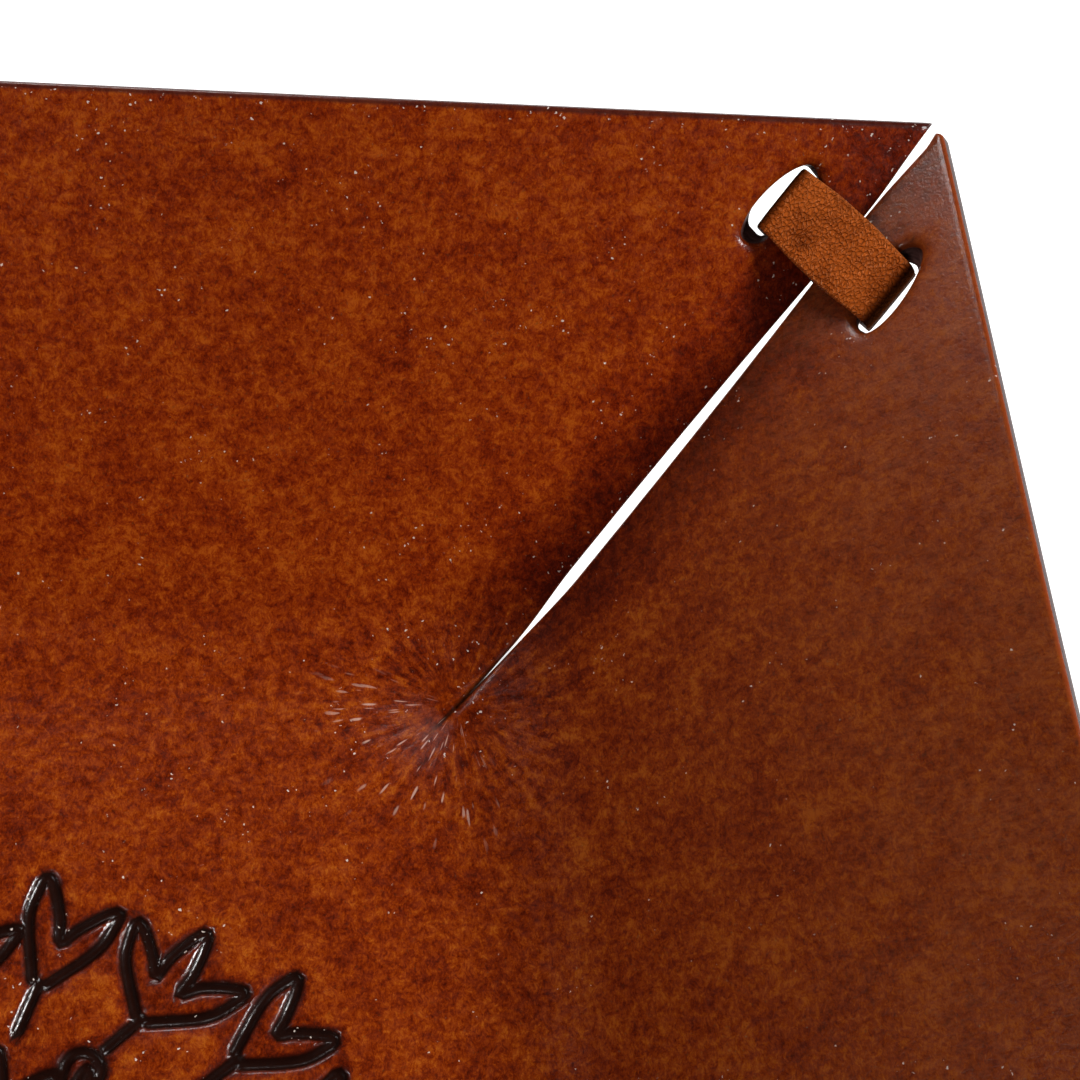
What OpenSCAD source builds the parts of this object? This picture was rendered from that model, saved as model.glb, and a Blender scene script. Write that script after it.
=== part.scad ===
// Leather catch-all tray: one square sheet, its four walls turned up and each corner drawn
// together by a short leather strap that passes through two slots beside a dart.
// The origin is the centre of the underside, +Z is up, and the walls face +X, -X, +Y and -Y.

/* [Sheet] */
// Side of the flat base, from fold to fold
base_w = 128; // [110:1:150]
// Length of each wall along the leather, from fold to rim
wall_run = 76; // [70:1:90]
// Thickness of the sheet
sheet_t = 2.2; // [2:0.1:2.4]
// Length of leather over which a wall bends up from the base
bend_run = 18; // [14:1:24]
// Slope of a wall at the corners, in degrees
corner_slope = 44; // [40:0.5:46]
// Slope of a wall at its middle, where it bows outwards, in degrees
middle_slope = 42; // [36:0.5:44]

/* [Darts] */
// Gap between two walls where the dart stands open below the strap
dart_gap = 1.3; // [0.4:0.1:1.6]
// Gap between two walls at the corner's tip
tip_gap = 0.6; // [0.2:0.1:1.2]
// Gap left where the two edges press together
closed_gap = 0.06; // [0.04:0.02:0.2]

/* [Slots] */
// Distance along the dart from the base's corner to the strap, measured up the wall
strap_up_wall = 60; // [54:1:62]
// Distance from a slot's centre line to the dart
slot_from_dart = 9.7; // [9.5:0.1:10.5]
// Length of a slot, end to end
slot_len = 12.2; // [12:0.1:13.5]
// Width of a slot
slot_w = 4.4; // [4.2:0.1:5]
// Angle by which a slot leans towards the dart's tip, in degrees
slot_turn = 7; // [3:0.5:7]

/* [Straps] */
// Width of a strap across the dart
strap_w = 9.8; // [9:0.1:10]
// Width of a strap where it is squeezed through a slot
leg_w = 9; // [8:0.1:9]
// Thickness of a strap
strap_t = 1.2; // [1:0.1:1.3]
// Clearance between a strap's legs or under run and the sheet
strap_gap = 0.2; // [0.15:0.01:0.25]
// Clearance between a strap's top run and the slots' edges
run_gap = 0.35; // [0.3:0.05:0.5]
// Glue line between the two layers of a strap's lap
glue_t = 0.05; // [0.02:0.01:0.1]
// Shift of a strap's leg from the slot's centre line towards the dart
leg_shift = 0.35; // [0:0.05:0.4]
// Lean of a strap's leg from square to its top run, in degrees
leg_lean = 12; // [8:1:16]

/* [Hidden] */

leather = "#7d2f0c";
strap_leather = "#96501f";

base_half = base_w / 2;
columns = 20;          // grid cells along a wall
rows = 20;             // grid cells up a wall
bend_steps = 12;       // samples of a bend's slope
cut_reach = 8;         // how far a slot's cutter reaches past the sheet
arc_step = 12;         // degrees between the points of a strap's rounded bend

// Tilt of the dart above the base, and half the valley angle between two walls' slopes
dart_tilt = atan(tan(corner_slope) / sqrt(2));
valley = asin(sin(corner_slope) / sqrt(2));

// ---- wall profile: slope, reach and height after s millimetres of leather ----
function ease(x) = x <= 0 ? 0 : x >= 1 ? 1 : x * x * (3 - 2 * x);
function slope(top, s) = top * ease(s / bend_run);
function sum(list) = list * [for (i = list) 1];
function bend_points(s) = [for (i = [0.5:bend_steps]) min(s, bend_run) * i / bend_steps];
function bend_size(s) = min(s, bend_run) / bend_steps;
function reach(top, s) =
    sum([for (q = bend_points(s)) cos(slope(top, q))]) * bend_size(s)
    + max(0, s - bend_run) * cos(top);
function height(top, s) =
    sum([for (q = bend_points(s)) sin(slope(top, q))]) * bend_size(s)
    + max(0, s - bend_run) * sin(top);
function top_slope(u) =
    middle_slope + (corner_slope - middle_slope) * ease(abs(u) / base_half);

// ---- dart: half the gap beside the seam, closed at the fold and under the strap ----
function bump(s, from, to) = s <= from || s >= to ? 0 : pow(sin(180 * (s - from) / (to - from)), 1.5);
dart_open_from = 0.12 * wall_run;
dart_open_to = strap_up_wall - strap_w / 2;
tip_open_from = strap_up_wall + strap_w / 2;
function half_gap(s) =
    closed_gap / 2
    + dart_gap / 2 * bump(s, dart_open_from, dart_open_to)
    + tip_gap / 2 * ease((s - tip_open_from) / (wall_run - tip_open_from));
function edge_u(s) = base_half + reach(corner_slope, s) - half_gap(s);

// Point of the back wall at u along it and s up it, depth below the inner surface
function wall_point(u, s, depth) =
    let (top = top_slope(u), a = slope(top, s))
    [u, base_half + reach(top, s) + depth * sin(a), sheet_t + height(top, s) - depth * cos(a)];

function layer(depth) = [
    for (j = [0:rows]) let (s = wall_run * j / rows, edge = edge_u(s))
        for (i = [0:columns]) wall_point(edge * (2 * i / columns - 1), s, depth)
];

// Two triangles for the quad a, b, c, d
function quad(a, b, c, d) = [[a, b, c], [a, c, d]];
function at(side, i, j) = side * (rows + 1) * (columns + 1) + j * (columns + 1) + i;

module wall_sheet() {
    faces = concat(
        [for (j = [0:rows - 1], i = [0:columns - 1], f =
            quad(at(0, i, j), at(0, i, j + 1), at(0, i + 1, j + 1), at(0, i + 1, j))) f],
        [for (j = [0:rows - 1], i = [0:columns - 1], f =
            quad(at(1, i, j), at(1, i + 1, j), at(1, i + 1, j + 1), at(1, i, j + 1))) f],
        [for (i = [0:columns - 1], f =
            quad(at(0, i, 0), at(0, i + 1, 0), at(1, i + 1, 0), at(1, i, 0))) f],
        [for (i = [0:columns - 1], f =
            quad(at(0, i + 1, rows), at(0, i, rows), at(1, i, rows), at(1, i + 1, rows))) f],
        [for (j = [0:rows - 1], f =
            quad(at(0, 0, j + 1), at(0, 0, j), at(1, 0, j), at(1, 0, j + 1))) f],
        [for (j = [0:rows - 1], f =
            quad(at(0, columns, j), at(0, columns, j + 1), at(1, columns, j + 1), at(1, columns, j))) f]
    );
    polyhedron(points = concat(layer(0), layer(sheet_t)), faces = faces);
}

// ---- corner frame: x across the dart, y inwards, z up along the dart ----
module at_dart() {
    r = base_half + reach(corner_slope, strap_up_wall);
    translate([r, r, sheet_t + height(corner_slope, strap_up_wall)])
        rotate([90 - dart_tilt, 0, 135])
            children();
}

// Slot cutter on the back wall's side, square to that wall
module slot_cutter() {
    straight = slot_len - slot_w;
    at_dart()
        rotate([0, 0, valley])
            translate([slot_from_dart, 0, 0])
                rotate([90, 0, 0])
                    rotate([0, 0, slot_turn])
                        translate([0, 0, -cut_reach]) {
                            linear_extrude(2 * cut_reach)
                                square([slot_w, straight], center = true);
                            for (end = [-1, 1])
                                translate([0, end * straight / 2, 0])
                                    cylinder(h = 2 * cut_reach, d = slot_w, $fn = 48);
                        }
}

module wall() {
    color(leather)
        difference() {
            wall_sheet();
            slot_cutter();
            mirror([1, 0, 0])
                slot_cutter();
        }
}

module base_panel() {
    color(leather)
        translate([-base_half, -base_half, 0])
            cube([base_w, base_w, sheet_t]);
}

// ---- strap: a band that follows a path with rounded bends ----
// Point d along a wall from the dart and h above its inner surface; side 1 is the back wall
function beside(side, d, h) =
    [side * (d * cos(valley) - h * sin(valley)), d * sin(valley) + h * cos(valley)];

near_edge = slot_from_dart - slot_w / 2 + strap_w / 2 * tan(slot_turn);
run_y = near_edge * sin(valley) + run_gap + strap_t / 2;
inner_h = -(sheet_t + strap_gap + strap_t / 2);
outer_h = inner_h - strap_t - glue_t;
leg_mid = beside(1, slot_from_dart - leg_shift, -sheet_t / 2);
leg_top_x = leg_mid[0] - (run_y - leg_mid[1]) * tan(leg_lean);
leg_foot_d = slot_from_dart - leg_shift - (-inner_h - sheet_t / 2) * tan(valley - leg_lean);
ridge_x = (outer_h - inner_h) / (2 * sin(valley));
ridge_y = ridge_x * tan(valley) + inner_h / cos(valley);
lap_from = 1.6;        // where the inner layer of the lap starts, from the dart
lap_to = 9.1;          // where the outer layer of the lap ends, from the dart
bend_r = 0.95;         // centre-line radius of the bends at the slots
ridge_r = 2.5;         // centre-line radius of the bend under the dart

// Path from the lap's inner end, up through the right slot, across, down and round: [x, y, radius]
function vertex(p, r) = [p[0], p[1], r];
strap_path = [
    vertex(beside(-1, lap_from, inner_h), 0),
    vertex(beside(-1, leg_foot_d, inner_h), bend_r),
    [-leg_top_x, run_y, bend_r],
    [leg_top_x, run_y, bend_r],
    vertex(beside(1, leg_foot_d, inner_h), bend_r),
    [ridge_x, ridge_y, ridge_r],
    vertex(beside(-1, lap_to, outer_h), 0)
];

function flat(v) = [v[0], v[1]];
function unit(v) = v / norm(v);
function heading(a, b) = atan2(b[1] - a[1], b[0] - a[0]);
function wrap(a) = a > 180 ? a - 360 : a < -180 ? a + 360 : a;

// The rounded bend at b between a and c, as [x, y, heading] stations
function bend(a, b, c) =
    let (into = heading(a, b), turn = wrap(heading(b, c) - into), r = b[2],
         start = flat(b) - unit(flat(b) - flat(a)) * r * tan(abs(turn) / 2),
         side = sign(turn),
         centre = start + side * r * [-sin(into), cos(into)],
         steps = max(1, ceil(abs(turn) / arc_step)))
    [for (k = [0:steps]) let (h = into + turn * k / steps)
        [centre[0] + side * r * sin(h), centre[1] - side * r * cos(h), h]];

function stations(path) =
    let (n = len(path))
    concat(
        [[path[0][0], path[0][1], heading(path[0], path[1])]],
        [for (i = [1:n - 2], s = bend(path[i - 1], path[i], path[i + 1])) s],
        [[path[n - 1][0], path[n - 1][1], heading(path[n - 2], path[n - 1])]]
    );

function beside_path(list, off) = [for (s = list) [s[0] - off * sin(s[2]), s[1] + off * cos(s[2])]];
function reversed(list) = [for (i = [len(list) - 1:-1:0]) list[i]];

module band() {
    line = stations(strap_path);
    polygon(concat(beside_path(line, strap_t / 2), reversed(beside_path(line, -strap_t / 2))));
}

module strap() {
    color(strap_leather)
        at_dart() {
            translate([0, 0, -leg_w / 2])
                linear_extrude(leg_w)
                    band();
            translate([0, 0, -strap_w / 2])
                linear_extrude(strap_w)
                    intersection() {
                        band();
                        translate([0, run_y])
                            square([2 * (leg_top_x - bend_r), 2 * strap_t], center = true);
                    }
        }
}

module quarter_turn(n) {
    rotate([0, 0, 90 * n])
        children();
}

base_panel();
quarter_turn(-1) wall();  // wall_right
wall();  // wall_back
quarter_turn(1) wall();  // wall_left
quarter_turn(2) wall();  // wall_front
strap();  // strap_back_right
quarter_turn(1) strap();  // strap_back_left
quarter_turn(2) strap();  // strap_front_left
quarter_turn(3) strap();  // strap_front_right
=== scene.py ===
"""A square leather catch-all tray: one tooled sheet with darted corners, and four corner straps."""
import math
import random

import bpy
import numpy as np
from mathutils import Matrix, Vector, geometry, kdtree, noise


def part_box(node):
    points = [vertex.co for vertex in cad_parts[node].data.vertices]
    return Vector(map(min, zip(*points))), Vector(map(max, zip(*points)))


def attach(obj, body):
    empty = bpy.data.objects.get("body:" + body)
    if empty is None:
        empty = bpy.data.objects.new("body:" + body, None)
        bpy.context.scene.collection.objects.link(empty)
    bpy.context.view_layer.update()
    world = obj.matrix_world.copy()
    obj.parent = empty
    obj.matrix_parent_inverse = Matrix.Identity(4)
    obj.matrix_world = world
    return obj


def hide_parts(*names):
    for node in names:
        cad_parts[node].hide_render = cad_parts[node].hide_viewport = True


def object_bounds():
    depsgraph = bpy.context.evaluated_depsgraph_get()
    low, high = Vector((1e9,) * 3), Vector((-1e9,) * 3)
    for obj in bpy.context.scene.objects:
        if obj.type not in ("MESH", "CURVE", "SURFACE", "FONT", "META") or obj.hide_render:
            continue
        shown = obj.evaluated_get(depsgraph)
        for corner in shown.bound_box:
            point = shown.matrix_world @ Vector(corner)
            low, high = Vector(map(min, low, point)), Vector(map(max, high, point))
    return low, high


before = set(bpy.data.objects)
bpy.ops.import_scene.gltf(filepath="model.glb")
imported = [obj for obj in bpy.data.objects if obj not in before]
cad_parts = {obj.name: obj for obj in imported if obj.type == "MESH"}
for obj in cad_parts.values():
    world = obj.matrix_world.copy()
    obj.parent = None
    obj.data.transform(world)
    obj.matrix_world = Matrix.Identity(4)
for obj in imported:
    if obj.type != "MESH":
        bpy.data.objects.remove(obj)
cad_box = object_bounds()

# ---------------- sizes, in millimetres
MM = 0.001
BASE_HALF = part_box("base_panel")[1].x / MM
SHEET_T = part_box("base_panel")[1].z / MM
WALL_RUN = 76.0
BEND_RUN = 18.0
BEND_STEPS = 12
CORNER_SLOPE = math.radians(44)
MIDDLE_SLOPE = math.radians(42)
EDGE_ROUND = 0.45          # radius of the sheet's edges on the grain side
FLESH_ROUND = 0.35         # and on the flesh side
TIP_ROUND = 1.1            # radius of the right wall's tip in the flat sheet
SLOT_DIP = 0.35            # how far the leather is pressed in round a slot
SLOT_DIP_REACH = 1.7
PUCKER = 0.42              # height of the folds at the end of a dart
PUCKER_REACH = 26.0
BEAD = 0.16                # height of the bead where a dart's edges press together
CREASE = 0.38              # depth of the crease beside it
FLOOR_GLOW = 0.95
FLOOR_SIZE = 9.0           # metres
WORLD_GLOW = 0.03

CLOSED_GAP = 0.06          # a dart's gap at its fold, at its widest below the strap, and at the tip
DART_GAP = 1.45
TIP_GAP = 1.5
SNUG = 0.34                # how much the strap closes the gap

STRAP_UP_WALL = 60.0       # how far up the wall's leather the strap's middle lies
SLOT_FROM_DART = 9.7
SLOT_LEN = 12.2
SLOT_W = 4.4
SLOT_TURN = math.radians(7)
LEG_ROOM = 0.55            # room for a strap's leg at each end of its slot on the flesh side

STRAP_W = 9.8              # width at the middle of its run
LEG_W = 9.0                # width where it goes through a slot
STRAP_T = 1.2
EASE_RUN = 6.5             # length over which the width changes
SKEW = math.radians(4.3)   # how far a strap's run lies off square to the dart
STRAP_GAP = 0.2            # between the strap's lap and the sheet's outside
RUN_GAP = 0.35             # between the strap's run and the slots' edges
GLUE_T = 0.05
LEG_SHIFT = 0.35
LEG_LEAN = math.radians(12)
STRAP_ROUND = 0.32         # radius of the strap's edges
STRAP_CROWN = 0.10         # how much thinner the strap is at its edges, on each side
LAP_START = 1.6            # where the strap's two ends lie on the outside, from the dart
LAP_END = 8.3

CROWN_X = 60.0             # half sizes of the tooled tree's crown
CROWN_Y = 44.5
CROWN_POWER = 2.4          # how square the crown is: 2 is an ellipse
GROOVE_HALF = 0.85         # half width of a tooled groove
GROOVE_DEPTH = 0.6

GRAIN_RINGS = (0.13, 0.45, 1.0, 1.7)    # mesh rings inside the sheet's edges
FLESH_RINGS = (0.12, 0.35)
GROOVE_LINES = (0, -0.28, 0.28, -0.55, 0.55, -0.8, 0.8, -1.15, 1.15)
SHARP = math.radians(48)

DART_TILT = math.atan(math.tan(CORNER_SLOPE) / math.sqrt(2))
VALLEY = math.asin(math.sin(CORNER_SLOPE) / math.sqrt(2))
rng = random.Random(11)


# ---------------- the sheet's shape
def ease(x):
    x = np.clip(x, 0, 1)
    return x * x * (3 - 2 * x)


def rise(top, s):
    """How far a wall reaches out and up after s of leather, for its slope past the bend."""
    bend = np.minimum(s, BEND_RUN)
    samples = (np.arange(BEND_STEPS) + 0.5) / BEND_STEPS
    slopes = top[:, None] * ease(bend[:, None] * samples / BEND_RUN)
    cell, straight = bend / BEND_STEPS, np.maximum(0, s - BEND_RUN)
    reach = np.cos(slopes).sum(1) * cell + straight * np.cos(top)
    height = np.sin(slopes).sum(1) * cell + straight * np.sin(top)
    return reach, height


def half_gap(s):
    """Half the gap beside a dart's seam: pressed shut at the fold, open below the strap and at the tip."""
    shut = CLOSED_GAP * ease(s / 2)
    middle = DART_GAP * ease((s - 8) / 10) * (1 - ease((s - 24) / 44))
    tip = TIP_GAP * ease((s - 65) / 13)
    snug = SNUG * ease((s - 44) / 14) * (1 - ease((s - 64) / 10))
    return (shut + middle + tip - snug) / 2


def edge_u(s):
    """Where the dart cuts a wall, measured along that wall's fold."""
    s = np.atleast_1d(np.asarray(s, float))
    return BASE_HALF + rise(np.full(len(s), CORNER_SLOPE), s)[0] - half_gap(s)


def quarter(points, k):
    """Points turned by k quarter turns about Z."""
    c, s = [(1, 0), (0, 1), (-1, 0), (0, -1)][k % 4]
    out = np.array(points, float)
    out[:, 0], out[:, 1] = points[:, 0] * c - points[:, 1] * s, points[:, 0] * s + points[:, 1] * c
    return out


def fold(flat):
    """Places points of the flat sheet on the tray's inner surface: (places, normals)."""
    places = np.column_stack([flat, np.full(len(flat), SHEET_T)])
    normals = np.tile([0.0, 0.0, 1.0], (len(flat), 1))
    x, y = flat[:, 0], flat[:, 1]
    past = np.maximum(abs(x), abs(y)) > BASE_HALF
    side = np.where(abs(y) >= abs(x), np.where(y > 0, 0, 2), np.where(x > 0, 3, 1))
    for k in range(4):
        on = np.where(past & (side == k))[0]
        if not len(on):
            continue
        turned = quarter(flat[on], -k)
        u, s = turned[:, 0], turned[:, 1] - BASE_HALF
        top = MIDDLE_SLOPE + (CORNER_SLOPE - MIDDLE_SLOPE) * ease(abs(u) / BASE_HALF)
        reach, height = rise(top, s)
        slope = top * ease(s / BEND_RUN)
        places[on] = quarter(np.column_stack([u, BASE_HALF + reach, SHEET_T + height]), k)
        normals[on] = quarter(np.column_stack([0 * u, -np.sin(slope), np.cos(slope)]), k)
    return places, normals


# ---------------- the flat sheet's outline
def along(points, step, closed=False):
    """The polyline resampled at about step."""
    points = np.asarray(points, float)
    if closed:
        points = np.vstack([points, points[:1]])
    gaps = np.hypot(*np.diff(points, axis=0).T)
    total = np.concatenate([[0], np.cumsum(gaps)])
    n = max(2, int(round(total[-1] / step)) + 1)
    at = np.linspace(0, total[-1], n)
    out = np.column_stack([np.interp(at, total, points[:, 0]), np.interp(at, total, points[:, 1])])
    return out[:-1] if closed else out


def outline():
    """The cut outline, one quarter at a time: half the back rim, round the dart, half the right rim."""
    rim = BASE_HALF + WALL_RUN
    s = np.concatenate([np.arange(WALL_RUN, 12, -0.8), np.arange(12, 0, -0.4)])
    back_edge = np.column_stack([edge_u(s), BASE_HALF + s])
    right_edge = back_edge[::-1, ::-1]
    tip = float(edge_u(WALL_RUN)[0])
    bow = [(math.sin(a) * TIP_ROUND, math.cos(a) * TIP_ROUND) for a in np.linspace(0.1, math.pi / 2, 5)]
    right_edge = right_edge[right_edge[:, 0] < rim - 2 * TIP_ROUND]
    corner = np.array([(rim - TIP_ROUND + dx, tip - TIP_ROUND + dy) for dx, dy in bow])
    back_rim = along([(0, rim), (tip, rim)], 0.9)[:-1]
    right_rim = along([corner[-1], (rim, 0)], 0.9)[1:-1]
    one = np.vstack([back_rim, back_edge, [[BASE_HALF, BASE_HALF]], right_edge, corner, right_rim])
    return np.vstack([quarter(one, -k) for k in range(4)])


def slot_outlines(flesh=False):
    """The eight slots' closed outlines in the flat sheet. On the flesh side they close in on the straps."""
    seam = np.array([math.cos(CORNER_SLOPE), 1.0])
    seam /= np.linalg.norm(seam)
    inwards = np.array([-seam[1], seam[0]])
    seam_x = float(edge_u(STRAP_UP_WALL)[0] + half_gap(STRAP_UP_WALL))
    centre = np.array([seam_x, BASE_HALF + STRAP_UP_WALL]) + SLOT_FROM_DART * inwards
    axis = math.cos(SLOT_TURN) * seam - math.sin(SLOT_TURN) * inwards
    across = np.array([axis[1], -axis[0]])
    r = SLOT_W / 2
    half_len = SLOT_LEN / 2
    straight = (SLOT_LEN - SLOT_W) / 2
    ends = [(straight, np.linspace(0, math.pi, 16)), (-straight, np.linspace(math.pi, 2 * math.pi, 16))]
    ring = [(r * math.cos(a), y + r * math.sin(a)) for y, arc in ends for a in arc]
    ring = along(ring, 0.5, closed=True)
    both = []
    for slope in (SKEW, -SKEW):
        x, y = ring.T
        share = np.minimum(1, abs(y) / half_len)
        oval = -r * np.sqrt(1 - share ** 2)
        x = np.where(x < 0, np.maximum(x, oval), x)
        if flesh:
            squarer = r * (1 - share ** 6) ** (1 / 6)
            x = np.where(x > 0, np.maximum(x, squarer), x)
            middle = SLOT_FROM_DART * math.tan(slope)
            y = middle + y * (LEG_W / 2 + LEG_ROOM) / half_len
        placed = centre + axis * y[:, None] + across * x[:, None]
        both.append(placed if slope > 0 else placed[:, ::-1])
    return [quarter(one, -k) for k in range(4) for one in both]


# ---------------- the tooled tree
def bezier(a, b, c, d, n=24):
    t = np.linspace(0, 1, n)[:, None]
    a, b, c, d = (np.array(p, float) for p in (a, b, c, d))
    return a * (1 - t) ** 3 + 3 * b * t * (1 - t) ** 2 + 3 * c * t * t * (1 - t) + d * t ** 3


def spline(points, n=7):
    """A smooth curve through the points, open at its ends."""
    p = np.array(points, float)
    p = np.vstack([2 * p[0] - p[1], p, 2 * p[-1] - p[-2]])
    t = np.linspace(0, 1, n, endpoint=False)[:, None]
    out = []
    for a, b, c, d in zip(p, p[1:], p[2:], p[3:]):
        out.append(b + 0.5 * (c - a) * t + (a - 2.5 * b + 2 * c - 0.5 * d) * t ** 2
                   + (1.5 * (b - c) + 0.5 * (d - a)) * t ** 3)
    return np.vstack(out + [p[-2:-1]])


def crown(r, degrees):
    """A point of the tree's crown: r is 1 on its rim."""
    c, s = math.cos(math.radians(degrees)), math.sin(math.radians(degrees))
    rim = ((abs(c) / CROWN_X) ** CROWN_POWER + (abs(s) / CROWN_Y) ** CROWN_POWER) ** (-1 / CROWN_POWER)
    return np.array([rim * r * c, rim * r * s - 1])


def heading(a, b):
    return math.degrees(math.atan2(b[1] - a[1], b[0] - a[0]))


def from_base(base, degrees, length):
    return base + length * np.array([math.cos(math.radians(degrees)), math.sin(math.radians(degrees))])


def spray(base, towards, length, lobes, fan):
    """One line round a spray of leaves: up and over each lobe, and down into the notch between two."""
    middle = heading(base, towards)
    points = [from_base(base, middle + 100, 0.9)]
    for i in range(lobes):
        turn = middle + fan * ((lobes - 1) / 2 - i) + rng.uniform(-3, 3)
        size = length * rng.uniform(0.92, 1.06)
        wide = 14
        points.append(from_base(base, turn + wide, 0.6 * size))
        points.append(from_base(base, turn + 0.35 * wide, 0.88 * size))
        points.append(from_base(base, turn, size))
        points.append(from_base(base, turn - 0.35 * wide, 0.88 * size))
        points.append(from_base(base, turn - wide, 0.6 * size))
        if i < lobes - 1:
            points.append(from_base(base, turn - fan / 2, 0.4 * length))
    points.append(from_base(base, middle - 100, 0.9))
    return spline(points)


def cell(centre, towards, length, width):
    """A closed rounded drop, tooled between two sprays."""
    ahead = heading(centre, towards)
    steps = np.arange(0, 360, 20)
    out = []
    for a in steps:
        c = math.cos(math.radians(a))
        across = 0.5 * width * math.sin(math.radians(a)) * (1 - 0.45 * c)
        out.append(from_base(from_base(centre, ahead, 0.5 * length * c), ahead + 90, across))
    return np.array(out)


def tree():
    """The strokes of the tooled tree in the sheet's own millimetres: (points, is it closed)."""
    strokes = []
    outer = [-16, -1, 15, 32, 49, 66, 84, 102, 119, 136, 152, 168, 184, 196]
    for i, angle in enumerate(outer):
        base = crown(0.735 + 0.03 * (i % 2), angle + rng.uniform(-2, 2))
        strokes.append((spray(base, crown(1.05, angle), 11.8, 3 - i % 2, 44 + 4 * (i % 2)), False))
        foot = from_base(base, heading(base, (0, -6)), 0.4)
        strokes.append((np.array([foot, crown(0.64, angle)]), False))
    for i, angle in enumerate([8, 36, 62, 90, 118, 144, 172]):
        base = crown(0.40, angle)
        strokes.append((spray(base, crown(0.7, angle), 9.6, 2 + i % 2, 46), False))
        strokes.append((cell(crown(0.565, angle + 13.5), (0, -8), 5.6, 3.8), True))
        root = np.array([2.2 * math.cos(math.radians(angle)), -9.0])
        bend = crown(0.2, angle + 16 * math.cos(math.radians(angle)))
        strokes.append((bezier(root, root + [0, 4], bend, crown(0.385, angle), 16), False))
    halves = [
        [(3.6, -10), (3.4, -18), (4.2, -26), (8, -32)],
        [(8, -32), (13, -37), (22, -35), (33, -38)],
        [(5, -33), (9, -41), (16, -41), (23, -43)],
        [(3.6, -10), (8, -7.5), (16, -13), (27, -14)],
        [(1.3, -15), (1.8, -22), (1.0, -30), (3.4, -42)],
    ]
    for side in (-1, 1):
        for half in halves:
            strokes.append((bezier(*[(side * x, y) for x, y in half]), False))
    strokes.append((bezier((0, -22), (0.6, -28), (-0.6, -36), (0, -46)), False))
    return strokes


def stroke_points(strokes):
    """Dense points on the strokes' centre lines, and mesh points beside them that follow the grooves."""
    dense, lines = [], []
    for points, closed in strokes:
        dense.append(along(points, 0.12, closed))
        line = along(points, 0.5, closed)
        ahead = np.roll(line, -1, 0) - np.roll(line, 1, 0) if closed else np.gradient(line, axis=0)
        ahead /= np.hypot(*ahead.T)[:, None] + 1e-9
        normal = np.column_stack([-ahead[:, 1], ahead[:, 0]])
        for off in GROOVE_LINES:
            lines.append(line + normal * off)
    return np.vstack(dense), lines


# ---------------- mesh points of the flat sheet
class Spread:
    """Keeps points that are no nearer to each other than they ask."""

    def __init__(self, cell):
        self.cell = cell
        self.bins = {}
        self.points = []

    def add(self, points, spacing):
        reach = int(math.ceil(spacing / self.cell))
        limit = spacing * spacing
        for x, y in points:
            i = int(math.floor(x / self.cell))
            j = int(math.floor(y / self.cell))
            near = (
                (p[0] - x) ** 2 + (p[1] - y) ** 2 < limit
                for a in range(i - reach, i + reach + 1)
                for b in range(j - reach, j + reach + 1)
                for p in self.bins.get((a, b), ())
            )
            if not any(near):
                self.bins.setdefault((i, j), []).append((x, y))
                self.points.append((x, y))


def hexagons(low, high, step):
    """A grid of points in staggered rows."""
    rows = np.arange(low[1], high[1], step * 0.866)
    columns = np.arange(low[0], high[0], step)
    grid = [(x + (j % 2) * step / 2, y) for j, y in enumerate(rows) for x in columns]
    return np.array(grid)


def nearest_in(points):
    """A lookup of the nearest of the points."""
    kd = kdtree.KDTree(len(points))
    for i, p in enumerate(points):
        kd.insert((p[0], p[1], 0), i)
    kd.balance()
    return kd


def distances(points, kd, limit):
    """Each point's distance from the nearest point of the lookup, up to a limit."""
    return np.minimum(limit, np.array([kd.find((x, y, 0))[2] for x, y in points]))


def edge_distances(points, loops):
    """Each point's distance from the nearest side of the closed loops."""
    starts = np.vstack(loops)
    ends = np.vstack([np.roll(loop, -1, 0) for loop in loops])
    kd = nearest_in((starts + ends) / 2)
    found = np.array([[hit[1] for hit in kd.find_n((x, y, 0), 4)] for x, y in points])
    best = np.full(len(points), 1e9)
    for k in range(found.shape[1]):
        a = starts[found[:, k]]
        b = ends[found[:, k]]
        share = ((points - a) * (b - a)).sum(1) / np.maximum(((b - a) ** 2).sum(1), 1e-12)
        foot = a + (b - a) * np.clip(share, 0, 1)[:, None]
        best = np.minimum(best, np.hypot(*(points - foot).T))
    return best


def turns_left(loop):
    """Whether the closed loop runs counter-clockwise."""
    x, y = loop.T
    return (x * np.roll(y, -1) - np.roll(x, -1) * y).sum() > 0


def inset(loop, distance, leather_inside):
    """The closed loop moved into the leather."""
    ahead = np.roll(loop, -1, 0) - np.roll(loop, 1, 0)
    ahead /= np.hypot(*ahead.T)[:, None]
    side = 1 if turns_left(loop) == leather_inside else -1
    return loop + side * distance * np.column_stack([-ahead[:, 1], ahead[:, 0]])


def triangulate(loops, inside):
    """Triangles of the sheet: loops are its outline and slots, inside is every other point."""
    points = np.vstack(list(loops) + [inside])
    faces, start = [], 0
    for loop in loops:
        face = list(range(start, start + len(loop)))
        faces.append(face if turns_left(loop) else face[::-1])
        start += len(loop)
    out = geometry.delaunay_2d_cdt([Vector(p) for p in points], [], faces, 1, 1e-5, True)
    keep = [f for f, origin in zip(out[2], out[5]) if list(origin) == [0]]
    used = sorted({v for f in keep for v in f})
    new = {old: i for i, old in enumerate(used)}
    flat = np.array([tuple(out[0][v]) for v in used])
    where = {}
    for i, old in enumerate(used):
        for origin in out[3][old]:
            where[origin] = i
    return flat, [[new[v] for v in f] for f in keep], where


# ---------------- the sheet as one mesh
def near_corner(flat):
    """Each point's place seen from the nearest corner of the base: distance and direction."""
    out = abs(flat) - BASE_HALF
    return np.hypot(*out.T), np.arctan2(out[:, 1], out[:, 0])


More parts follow.
